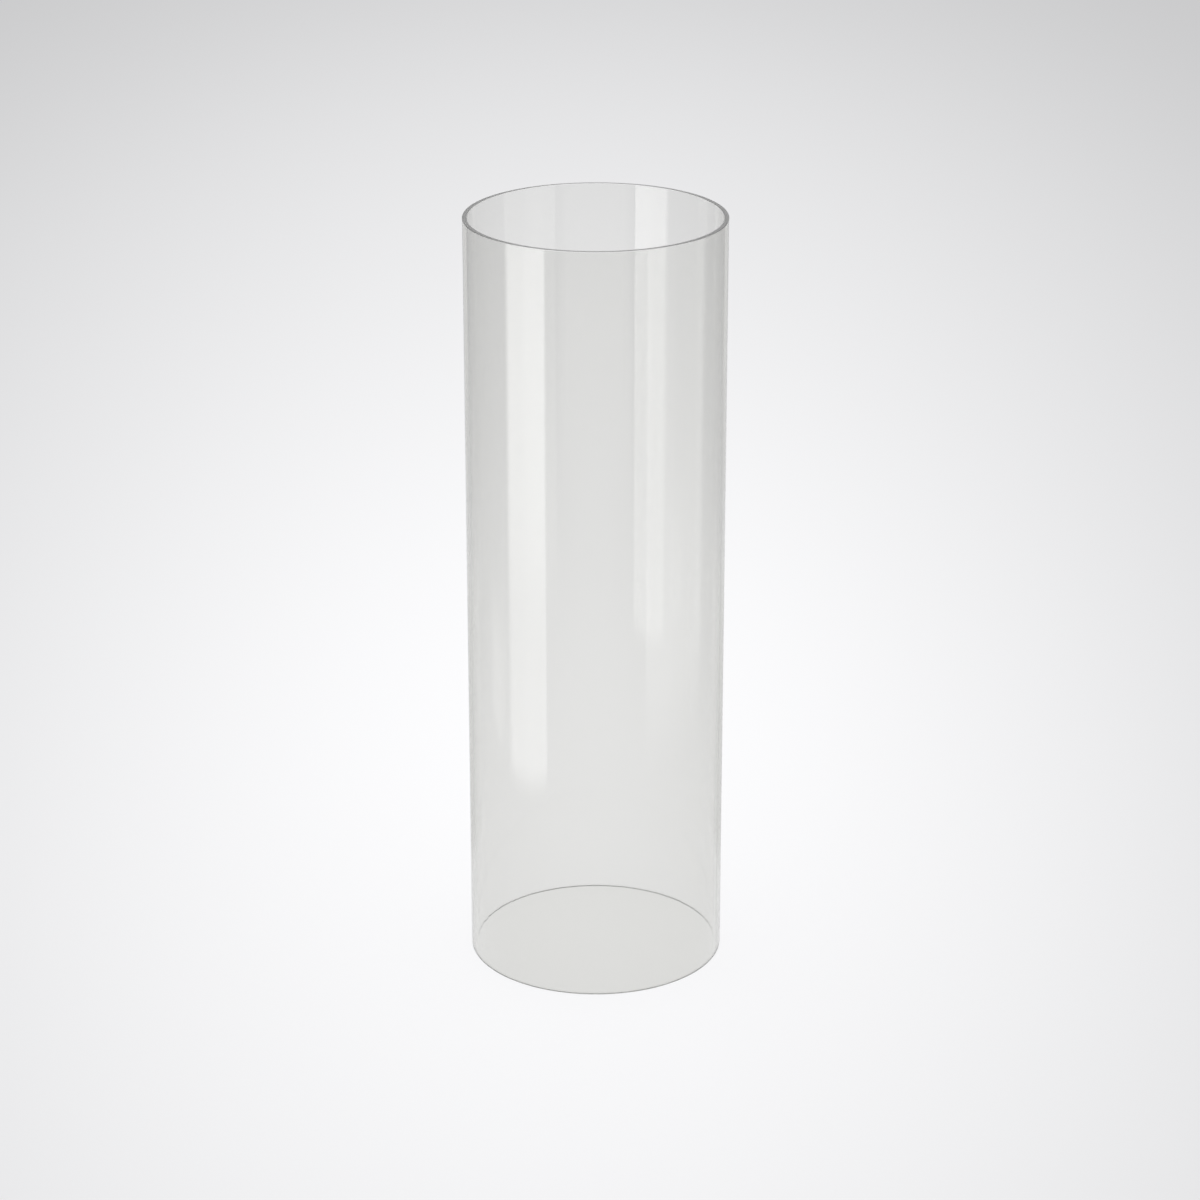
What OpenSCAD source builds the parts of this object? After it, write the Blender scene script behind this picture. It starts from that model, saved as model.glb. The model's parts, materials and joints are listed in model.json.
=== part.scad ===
// Guitar slide: one straight glass tube, open at both ends, worn over a finger.
// It stands on its lower end. The origin is the centre of that end, and +Z runs along the axis.

/* [Tube] */
// Length from end to end
tube_length = 69; // [40:0.5:100]
// Outside diameter
outer_diameter = 23; // [18:0.1:40]
// Thickness of the glass wall
wall = 0.4; // [0.3:0.01:4]

/* [Eased edges] */
// Radius that takes the sharpness off the outer edge of each end
outer_edge_radius = 0.08; // [0.02:0.01:0.14]
// Radius that takes the sharpness off the inner edge of each end
inner_edge_radius = 0.06; // [0.02:0.01:0.14]

/* [Hidden] */
// Segments in a full turn
$fn = 128;
outer_radius = outer_diameter / 2;
bore_radius = outer_radius - wall;
clear_glass = [0.86, 0.87, 0.84, 0.4];

// What a quarter-round edge leaves of a square corner at the origin
module edge_waste(radius) {
    difference() {
        square(radius);
        translate([radius, radius]) circle(radius);
    }
}

// The two corners of the wall at an end at height 0
module end_waste() {
    translate([bore_radius, 0]) edge_waste(inner_edge_radius);
    translate([outer_radius, 0]) mirror([1, 0]) edge_waste(outer_edge_radius);
}

// Section through the wall, to the right of the axis
module wall_section() {
    difference() {
        translate([bore_radius, 0]) square([wall, tube_length]);
        end_waste();
        translate([0, tube_length]) mirror([0, 1]) end_waste();
    }
}

module glass_tube() {
    color(clear_glass) rotate_extrude() wall_section();
}

glass_tube();
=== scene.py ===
import json
import math

import bpy
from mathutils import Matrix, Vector


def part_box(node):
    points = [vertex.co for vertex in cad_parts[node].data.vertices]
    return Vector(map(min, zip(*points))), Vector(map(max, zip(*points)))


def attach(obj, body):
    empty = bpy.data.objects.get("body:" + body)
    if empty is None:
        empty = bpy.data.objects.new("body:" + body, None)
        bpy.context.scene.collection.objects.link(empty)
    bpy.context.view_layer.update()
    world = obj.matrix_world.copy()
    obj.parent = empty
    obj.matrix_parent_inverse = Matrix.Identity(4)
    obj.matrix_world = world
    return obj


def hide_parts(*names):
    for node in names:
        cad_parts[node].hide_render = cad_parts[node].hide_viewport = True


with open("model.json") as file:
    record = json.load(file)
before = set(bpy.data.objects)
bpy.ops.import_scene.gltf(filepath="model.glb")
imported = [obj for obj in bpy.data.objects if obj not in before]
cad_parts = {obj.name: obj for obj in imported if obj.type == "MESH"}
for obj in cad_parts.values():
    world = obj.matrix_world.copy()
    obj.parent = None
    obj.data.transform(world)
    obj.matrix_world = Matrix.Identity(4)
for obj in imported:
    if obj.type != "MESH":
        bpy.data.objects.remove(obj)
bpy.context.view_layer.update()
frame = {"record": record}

MM = 0.001

# ---- Sizes, from the frame ------------------------------------------------------------------

low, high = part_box("glass_tube")
middle_height = (low.z + high.z) / 2
half_height = (high.z - low.z) / 2
mount_dims = {mount["name"]: mount["dims"] for mount in frame["record"]["mounts"]}


def eased_edge(mount):
    """What a mount that runs from edge to edge leaves at each end, to the nearest micrometre."""
    return round(half_height - mount_dims[mount]["length_mm"] * MM / 2, 6)


outer_radius = min(high.x - low.x, high.y - low.y) / 2
wall = mount_dims["outer_wall"]["r_mm"] * MM - mount_dims["finger_bore"]["r_mm"] * MM
bore_radius = outer_radius - wall
outer_edge = eased_edge("outer_wall")
inner_edge = eased_edge("finger_bore")

# ---- The glass tube -------------------------------------------------------------------------

TURN_STEPS = 384
EDGE_STEPS = 8
WALL_STEPS = 24


def quarter_edge(centre, radius, start):
    """Points and outward directions along a quarter circle, anticlockwise from the angle start."""
    points = []
    for step in range(EDGE_STEPS + 1):
        angle = start + math.pi / 2 * step / EDGE_STEPS
        way = (math.cos(angle), math.sin(angle))
        points.append(((centre[0] + radius * way[0], centre[1] + radius * way[1]), way))
    return points


def straight_wall(radius, bottom, top, outward):
    """Points up or down a straight wall, between its two eased edges."""
    points = []
    for step in range(1, WALL_STEPS):
        z = bottom + (top - bottom) * step / WALL_STEPS
        points.append(((radius, z), (outward, 0.0)))
    return points


def wall_profile():
    """The wall's closed outline in the X-Z plane, anticlockwise, with its surface directions."""
    points = quarter_edge((outer_radius - outer_edge, low.z + outer_edge), outer_edge, -math.pi / 2)
    points += straight_wall(outer_radius, low.z + outer_edge, high.z - outer_edge, 1.0)
    points += quarter_edge((outer_radius - outer_edge, high.z - outer_edge), outer_edge, 0.0)
    points += quarter_edge((bore_radius + inner_edge, high.z - inner_edge), inner_edge, math.pi / 2)
    points += straight_wall(bore_radius, high.z - inner_edge, low.z + inner_edge, -1.0)
    points += quarter_edge((bore_radius + inner_edge, low.z + inner_edge), inner_edge, math.pi)
    return points


def lathe(name, profile):
    """Turns a closed outline round Z into a smooth mesh that keeps the outline's own directions."""
    vertices, normals = [], []
    for step in range(TURN_STEPS):
        angle = 2 * math.pi * step / TURN_STEPS
        cosine, sine = math.cos(angle), math.sin(angle)
        for (radius, z), (outward, upward) in profile:
            vertices.append((radius * cosine, radius * sine, z))
            normals.append((outward * cosine, outward * sine, upward))
    count = len(profile)
    faces = []
    for step in range(TURN_STEPS):
        here, there = step * count, (step + 1) % TURN_STEPS * count
        for i in range(count):
            j = (i + 1) % count
            faces.append((here + i, there + i, there + j, here + j))
    mesh = bpy.data.meshes.new(name)
    mesh.from_pydata(vertices, [], faces)
    mesh.polygons.foreach_set("use_smooth", [True] * len(faces))
    mesh.normals_split_custom_set_from_vertices(normals)
    mesh.validate()
    mesh.update()
    piece = bpy.data.objects.new(name, mesh)
    bpy.context.scene.collection.objects.link(piece)
    return piece


# Draw lines are the faint ridges that drawing the tube leaves along it
DRAW_LINE_WIDTH = 0.9 * MM
DRAW_LINE_STRETCH = 60.0
DRAW_LINE_DEPTH = 0.003 * MM
SMEAR_SIZE = 14 * MM
SMEAR_STRETCH = 2.0
# The noise levels at which a smear starts and is full
SMEAR_START = 0.5
SMEAR_FULL = 0.7
SMEAR_ROUGHNESS = 0.035
# The cut ends are satin, and this share of their light scatters instead of passing through
END_ROUGHNESS = 0.35
END_SCATTER = 0.2
GLASS_IOR = 1.5
BODY_COLOUR = (0.5, 0.5, 0.45, 1.0)
BODY_DENSITY = 575.0
WHITE = (1.0, 1.0, 1.0, 1.0)


def calc(nodes, links, operation, first, second=0.0):
    """A Math node on two values, each a socket or a number."""
    node = nodes.new("ShaderNodeMath")
    node.operation = operation
    for socket, value in zip(node.inputs, (first, second)):
        if isinstance(value, (int, float)):
            socket.default_value = value
        else:
            links.new(value, socket)
    return node.outputs["Value"]


def fade(nodes, links, value, start, end, low_value, high_value):
    """A soft step from low_value to high_value as value goes from start to end."""
    step = nodes.new("ShaderNodeMapRange")
    step.interpolation_type = "SMOOTHSTEP"
    step.inputs["From Min"].default_value = start
    step.inputs["From Max"].default_value = end
    step.inputs["To Min"].default_value = low_value
    step.inputs["To Max"].default_value = high_value
    links.new(value, step.inputs["Value"])
    return step.outputs["Result"]


def streaks(nodes, links, place, width, stretch):
    """Noise about as fine as width round the tube, and drawn out by stretch along it."""
    scale = nodes.new("ShaderNodeMapping")
    scale.inputs["Scale"].default_value = (1 / width, 1 / width, 1 / (width * stretch))
    noise = nodes.new("ShaderNodeTexNoise")
    noise.inputs["Scale"].default_value = 1.0
    noise.inputs["Detail"].default_value = 2.0
    links.new(place.outputs["Object"], scale.inputs["Vector"])
    links.new(scale.outputs["Vector"], noise.inputs["Vector"])
    return noise.outputs["Fac"]


def end_mask(nodes, links, place):
    """1 on the cut ends and their eased edges, 0 on the walls."""
    split = nodes.new("ShaderNodeSeparateXYZ")
    links.new(place.outputs["Object"], split.inputs["Vector"])
    from_middle = calc(nodes, links, "SUBTRACT", split.outputs["Z"], middle_height)
    away = calc(nodes, links, "ABSOLUTE", from_middle)
    return fade(nodes, links, away, half_height - outer_edge, half_height - inner_edge / 2, 0.0, 1.0)


def clear_glass():
    """Clear glass: faint draw lines along the tube, a few smears, satin cut ends, a grey-olive body."""
    material = bpy.data.materials.new("clear_glass")
    material.use_nodes = True
    nodes, links = material.node_tree.nodes, material.node_tree.links
    shader = nodes["Principled BSDF"]
    shader.inputs["Base Color"].default_value = WHITE
    shader.inputs["IOR"].default_value = GLASS_IOR
    place = nodes.new("ShaderNodeTexCoord")
    ends = end_mask(nodes, links, place)

    patches = streaks(nodes, links, place, SMEAR_SIZE, SMEAR_STRETCH)
    smears = fade(nodes, links, patches, SMEAR_START, SMEAR_FULL, 0.0, SMEAR_ROUGHNESS)
    roughness = nodes.new("ShaderNodeMix")
    roughness.inputs["B"].default_value = END_ROUGHNESS
    links.new(ends, roughness.inputs["Factor"])
    links.new(smears, roughness.inputs["A"])
    links.new(roughness.outputs["Result"], shader.inputs["Roughness"])
    passing = fade(nodes, links, ends, 0.0, 1.0, 1.0, 1.0 - END_SCATTER)
    links.new(passing, shader.inputs["Transmission Weight"])

    bump = nodes.new("ShaderNodeBump")
    bump.inputs["Distance"].default_value = DRAW_LINE_DEPTH
    draw_lines = streaks(nodes, links, place, DRAW_LINE_WIDTH, DRAW_LINE_STRETCH)
    links.new(draw_lines, bump.inputs["Height"])
    links.new(bump.outputs["Normal"], shader.inputs["Normal"])

    body = nodes.new("ShaderNodeVolumeAbsorption")
    body.inputs["Color"].default_value = BODY_COLOUR
    body.inputs["Density"].default_value = BODY_DENSITY
    links.new(body.outputs["Volume"], nodes["Material Output"].inputs["Volume"])
    return material


tube = lathe("glass_tube_clear", wall_profile())
tube.data.materials.append(clear_glass())
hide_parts("glass_tube")
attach(tube, "root")

# ---- Floor and sky --------------------------------------------------------------------------

FLOOR_DROP = 0.02 * MM
FLOOR_RADIUS = 3.0
FLOOR_TINT = (1.0, 1.0, 1.012)
# The floor's tone far off, and the painted light that each of its two bright pools adds
FAR_TONE = 0.55
WIDE_PAINTED_LIGHT = 0.313
WIDE_CENTRE = (-4.9 * MM, 150 * MM)
WIDE_SIZE = (118 * MM, 309 * MM)
NEAR_PAINTED_LIGHT = 0.18
NEAR_CENTRE = (-1.3 * MM, 7 * MM)
NEAR_SIZE = (64 * MM, 135 * MM)
# The share of the floor's tone that is its own glow, and how much of that glow is left inside the bore,
# where painted shade dims it
GLOW_SHARE = 0.9
PAINTED_SHADE_IN_BORE = (0.87, 0.87, 0.85, 1.0)
SKY_LEVEL = 1.07
# How high the sky starts and stops getting brighter, from 0 at the horizon to 1 overhead
SKY_START = 0.12
SKY_FULL = 0.6


def painted_light_pool(nodes, links, place, centre, size):
    """The shape of a painted pool of light: 1 at the centre, falling off smoothly over size along X and
    Y.
    """
    scale = nodes.new("ShaderNodeMapping")
    scale.inputs["Location"].default_value = (-centre[0] / size[0], -centre[1] / size[1], 0)
    scale.inputs["Scale"].default_value = (1 / size[0], 1 / size[1], 0)
    squared = nodes.new("ShaderNodeVectorMath")
    squared.operation = "DOT_PRODUCT"
    links.new(place.outputs["Object"], scale.inputs["Vector"])
    links.new(scale.outputs["Vector"], squared.inputs[0])
    links.new(scale.outputs["Vector"], squared.inputs[1])
    return calc(nodes, links, "EXPONENT", calc(nodes, links, "MULTIPLY", squared.outputs["Value"], -1.0))


def floor_colour_and_painted_light(nodes, links, place):
    """The floor's pale tint, with two soft pools of painted light round the tube."""
    # Two pools of painted light, a wide one and a near one, added to the far tone
    wide_painted_light = calc(nodes, links, "MULTIPLY", painted_light_pool(nodes, links, place, WIDE_CENTRE, WIDE_SIZE), WIDE_PAINTED_LIGHT)
    near_painted_light = calc(nodes, links, "MULTIPLY", painted_light_pool(nodes, links, place, NEAR_CENTRE, NEAR_SIZE), NEAR_PAINTED_LIGHT)
    tone = calc(nodes, links, "ADD", calc(nodes, links, "ADD", wide_painted_light, near_painted_light), FAR_TONE)
    colour = nodes.new("ShaderNodeVectorMath")
    colour.operation = "SCALE"
    colour.inputs[0].default_value = FLOOR_TINT
    links.new(tone, colour.inputs["Scale"])
    return colour.outputs["Vector"]


def painted_bore_shade(nodes, links, place):
    """White outside the tube and darker, a little tinted, inside the bore: painted shade standing in for
    the shade a grey wall would cast on the floor.
    """
    from_axis = nodes.new("ShaderNodeVectorMath")
    from_axis.operation = "LENGTH"
    links.new(place.outputs["Object"], from_axis.inputs[0])
    outside = fade(nodes, links, from_axis.outputs["Value"], bore_radius, outer_radius, 0.0, 1.0)
    bore_shade_mix = nodes.new("ShaderNodeMix")
    bore_shade_mix.data_type = "RGBA"
    bore_shade_mix.inputs["A"].default_value = PAINTED_SHADE_IN_BORE
    bore_shade_mix.inputs["B"].default_value = WHITE
    links.new(outside, bore_shade_mix.inputs["Factor"])
    return bore_shade_mix.outputs["Result"]


def floor_material():
    """A pale floor that mostly glows by itself, so that it takes hardly any shadow."""
    material = bpy.data.materials.new("pale_floor")
    material.use_nodes = True
    nodes, links = material.node_tree.nodes, material.node_tree.links
    nodes.remove(nodes["Principled BSDF"])
    place = nodes.new("ShaderNodeTexCoord")
    colour = floor_colour_and_painted_light(nodes, links, place)
    lit = nodes.new("ShaderNodeBsdfDiffuse")
    links.new(colour, lit.inputs["Color"])
    glow_colour = nodes.new("ShaderNodeVectorMath")
    glow_colour.operation = "MULTIPLY"
    links.new(colour, glow_colour.inputs[0])
    # The floor's glow is dimmed by painted shade inside the bore
    links.new(painted_bore_shade(nodes, links, place), glow_colour.inputs[1])
    glow = nodes.new("ShaderNodeEmission")
    links.new(glow_colour.outputs["Vector"], glow.inputs["Color"])
    shader = nodes.new("ShaderNodeMixShader")
    shader.inputs["Fac"].default_value = GLOW_SHARE
    links.new(lit.outputs["BSDF"], shader.inputs[1])
    links.new(glow.outputs["Emission"], shader.inputs[2])
    links.new(shader.outputs["Shader"], nodes["Material Output"].inputs["Surface"])
    return material


def floor():
    """A wide square sheet just under the tube's lower end."""
    ways = ((-1, -1), (1, -1), (1, 1), (-1, 1))
    corners = [(FLOOR_RADIUS * x, FLOOR_RADIUS * y, -FLOOR_DROP) for x, y in ways]
    mesh = bpy.data.meshes.new("floor")
    mesh.from_pydata(corners, [], [(0, 1, 2, 3)])
    sheet = bpy.data.objects.new("floor", mesh)
    sheet.data.materials.append(floor_material())
    bpy.context.scene.collection.objects.link(sheet)


def sky():
    """Soft light from above that fades to the floor's far tone at the horizon."""
    world = bpy.data.worlds.new("studio")
    bpy.context.scene.world = world
    world.use_nodes = True
    nodes, links = world.node_tree.nodes, world.node_tree.links
    place = nodes.new("ShaderNodeTexCoord")
    split = nodes.new("ShaderNodeSeparateXYZ")
    ramp = nodes.new("ShaderNodeMapRange")
    ramp.inputs["From Min"].default_value = SKY_START
    ramp.inputs["From Max"].default_value = SKY_FULL
    ramp.inputs["To Min"].default_value = FAR_TONE
    ramp.inputs["To Max"].default_value = SKY_LEVEL
    links.new(place.outputs["Generated"], split.inputs["Vector"])
    links.new(split.outputs["Z"], ramp.inputs["Value"])
    links.new(ramp.outputs["Result"], nodes["Background"].inputs["Color"])


# ---- Light cards ----------------------------------------------------------------------------

# The cards stand on the floor round the tube, and show only where the glass reflects them.
# Near and far ends are X and Y. A fade is the axis, where it starts and where it is full.
CARD_TOP = 75 * MM

# The bright panel draws the two bars. Its fades are shares of its height or of its width in X.
PANEL_NEAR = (-34.3 * MM, -40.6 * MM)
PANEL_FAR = (-52.0 * MM, -11.8 * MM)
PANEL_BASE_GLOW = 0.9
PANEL_LOW_GLOW = 1.22
PANEL_HIGH_GLOW = 1.95
PANEL_RISE = (0.2, 0.65)
PANEL_FOOT = (0.0, 0.055)
PANEL_FAR_EDGE = (0.0, 0.15)
PANEL_SPLIT = (0.4, 0.58)
PANEL_FAR_SHARE = 0.85

LEFT_FILL_GLOW = 1.15
LEFT_FILL_FAR = (-60 * MM, 16 * MM)
LEFT_FILL_TOP = 24 * MM
LEFT_FILL_FADES = (("Y", 16 * MM, 2 * MM), ("Z", 0, 6 * MM), ("Z", LEFT_FILL_TOP, 10 * MM))

RIGHT_FILL_GLOW = 1.28
RIGHT_FILL_NEAR = (34.8 * MM, -40 * MM)
RIGHT_FILL_FAR = (50 * MM, -22 * MM)
RIGHT_SIDE_GLOW = 1.15
RIGHT_SIDE_FAR = (60 * MM, 10 * MM)
RIGHT_FADES = (("Z", 0, 15 * MM),)

FRONT_FILL_GLOW = 0.95
FRONT_FILL_Y = -110 * MM
FRONT_FILL_HALF = 80 * MM
FRONT_FILL_FADES = (("X", FRONT_FILL_HALF, 50 * MM), ("Z", 0, 20 * MM))

# The pale cards behind the tube draw the grey bands along its edges
HIGH_CARD_GLOW = 0.84
HIGH_CARD_Y = 100 * MM
HIGH_CARD_INNER = 36 * MM
HIGH_CARD_OUTER = 68 * MM
HIGH_CARD_FADES = (("X", HIGH_CARD_INNER, 48 * MM), ("Z", 0, 25 * MM))

LOW_CARD_GLOW = 0.85
LOW_CARD_Y = 12 * MM
LOW_CARD_INNER = 13 * MM
LOW_CARD_OUTER = 32 * MM
LOW_CARD_TOP = 36 * MM
LOW_CARD_FADES = (("X", LOW_CARD_INNER, 16 * MM), ("Z", 0, 5 * MM), ("Z", LOW_CARD_TOP, 25 * MM))


def reflected_glow(name, fades=()):
    """A light that shows only where the glass reflects it. Returns its material and its glow.

    Each fade is an axis, taken as the distance from the middle, and where it starts and is full.
    """
    material = bpy.data.materials.new(name)
    material.use_nodes = True
    material.cycles.emission_sampling = "NONE"
    nodes, links = material.node_tree.nodes, material.node_tree.links
    nodes.remove(nodes["Principled BSDF"])
    glow = nodes.new("ShaderNodeEmission")
    clear = nodes.new("ShaderNodeBsdfTransparent")
    shader = nodes.new("ShaderNodeMixShader")
    # The glossy depth counts the reflections behind a ray, so over 0.5 is one or more
    path = nodes.new("ShaderNodeLightPath")
    share = calc(nodes, links, "GREATER_THAN", path.outputs["Glossy Depth"], 0.5)
    place = nodes.new("ShaderNodeTexCoord")
    split = nodes.new("ShaderNodeSeparateXYZ")
    links.new(place.outputs["Object"], split.inputs["Vector"])
    for axis, start, end in fades:
        distance = calc(nodes, links, "ABSOLUTE", split.outputs[axis])
        share = calc(nodes, links, "MULTIPLY", share, fade(nodes, links, distance, start, end, 0.0, 1.0))
    links.new(clear.outputs["BSDF"], shader.inputs[1])
    links.new(glow.outputs["Emission"], shader.inputs[2])
    links.new(share, shader.inputs["Fac"])
    links.new(shader.outputs["Shader"], nodes["Material Output"].inputs["Surface"])
    return material, glow


def panel_material():
    """The panel's light: stronger higher up and on its near half, soft at its foot and far edge."""
    material, glow = reflected_glow("light_panel")
    nodes, links = material.node_tree.nodes, material.node_tree.links
    place = nodes.new("ShaderNodeTexCoord")
    split = nodes.new("ShaderNodeSeparateXYZ")
    links.new(place.outputs["Generated"], split.inputs["Vector"])
    across, up = split.outputs["X"], split.outputs["Z"]
    light = fade(nodes, links, up, *PANEL_RISE, PANEL_LOW_GLOW, PANEL_HIGH_GLOW)
    light = calc(nodes, links, "MULTIPLY", light, fade(nodes, links, up, *PANEL_FOOT, 0.0, 1.0))
    light = calc(nodes, links, "MULTIPLY", light, fade(nodes, links, across, *PANEL_FAR_EDGE, 0.0, 1.0))
    near_half = fade(nodes, links, across, *PANEL_SPLIT, PANEL_FAR_SHARE, 1.0)
    light = calc(nodes, links, "MULTIPLY", light, near_half)
    links.new(calc(nodes, links, "ADD", light, PANEL_BASE_GLOW), glow.inputs["Strength"])
    return material


def card_material(name, strength, fades):
    """An even reflected glow that fades in."""
    material, glow = reflected_glow(name, fades)
    glow.inputs["Strength"].default_value = strength
    return material


def light_card(name, left, right, top, material):
    """An upright card standing on the floor between two points, hidden from direct view."""
    mesh = bpy.data.meshes.new(name)
    mesh.from_pydata([(*left, 0), (*right, 0), (*right, top), (*left, top)], [], [(0, 1, 2, 3)])
    mesh.materials.append(material)
    card = bpy.data.objects.new(name, mesh)
    bpy.context.scene.collection.objects.link(card)
    card.visible_camera = False
    card.visible_diffuse = False
    card.visible_shadow = False


def fills():
    """Dim cards at the left, the right and the front, which lift the glass beside the bars."""
    left_fill = card_material("left_fill", LEFT_FILL_GLOW, LEFT_FILL_FADES)
    light_card("left_fill", PANEL_FAR, LEFT_FILL_FAR, LEFT_FILL_TOP, left_fill)
    right_fill = card_material("right_fill", RIGHT_FILL_GLOW, RIGHT_FADES)
    light_card("right_fill", RIGHT_FILL_NEAR, RIGHT_FILL_FAR, CARD_TOP, right_fill)
    right_side = card_material("right_side", RIGHT_SIDE_GLOW, RIGHT_FADES)
    light_card("right_side", RIGHT_FILL_FAR, RIGHT_SIDE_FAR, CARD_TOP, right_side)
    front_fill = card_material("front_fill", FRONT_FILL_GLOW, FRONT_FILL_FADES)
    front_left, front_right = (-FRONT_FILL_HALF, FRONT_FILL_Y), (FRONT_FILL_HALF, FRONT_FILL_Y)
    light_card("front_fill", front_left, front_right, CARD_TOP, front_fill)


def pale_cards():
    """A high far card and a low near card behind each side of the tube."""
    high_pale = card_material("high_card", HIGH_CARD_GLOW, HIGH_CARD_FADES)
    low_pale = card_material("low_card", LOW_CARD_GLOW, LOW_CARD_FADES)
    for side, place in ((-1, "left"), (1, "right")):
        inner, outer = (side * HIGH_CARD_INNER, HIGH_CARD_Y), (side * HIGH_CARD_OUTER, HIGH_CARD_Y)
        light_card(f"{place}_high_card", inner, outer, CARD_TOP, high_pale)
        inner, outer = (side * LOW_CARD_INNER, LOW_CARD_Y), (side * LOW_CARD_OUTER, LOW_CARD_Y)
        light_card(f"{place}_low_card", inner, outer, LOW_CARD_TOP, low_pale)


# ---- Camera ---------------------------------------------------------------------------------

CAMERA_DISTANCE = 324.9 * MM
CAMERA_ELEVATION = math.radians(21.14)
# The point that the camera looks at: just right of the axis, a little below the tube's middle
AIM = Vector((0.38 * MM, 0, 33.6 * MM))
LENS = 108.9
SENSOR_WIDTH = 36
CLIP_START = 0.01


def camera():
    """In front of the tube, looking down at it."""
    data = bpy.data.cameras.new("camera")
    data.lens = LENS
    data.sensor_width = SENSOR_WIDTH
    data.clip_start = CLIP_START
    eye = bpy.data.objects.new("camera", data)
    back = Vector((0, -math.cos(CAMERA_ELEVATION), math.sin(CAMERA_ELEVATION)))
    eye.location = AIM + back * CAMERA_DISTANCE
    eye.rotation_mode = "QUATERNION"
    eye.rotation_quaternion = (-back).to_track_quat("-Z", "Y")
    bpy.context.scene.collection.objects.link(eye)
    bpy.context.scene.camera = eye


floor()
sky()
light_card("light_panel", PANEL_NEAR, PANEL_FAR, CARD_TOP, panel_material())
fills()
pale_cards()
camera()
bpy.context.scene.view_settings.view_transform = "Standard"
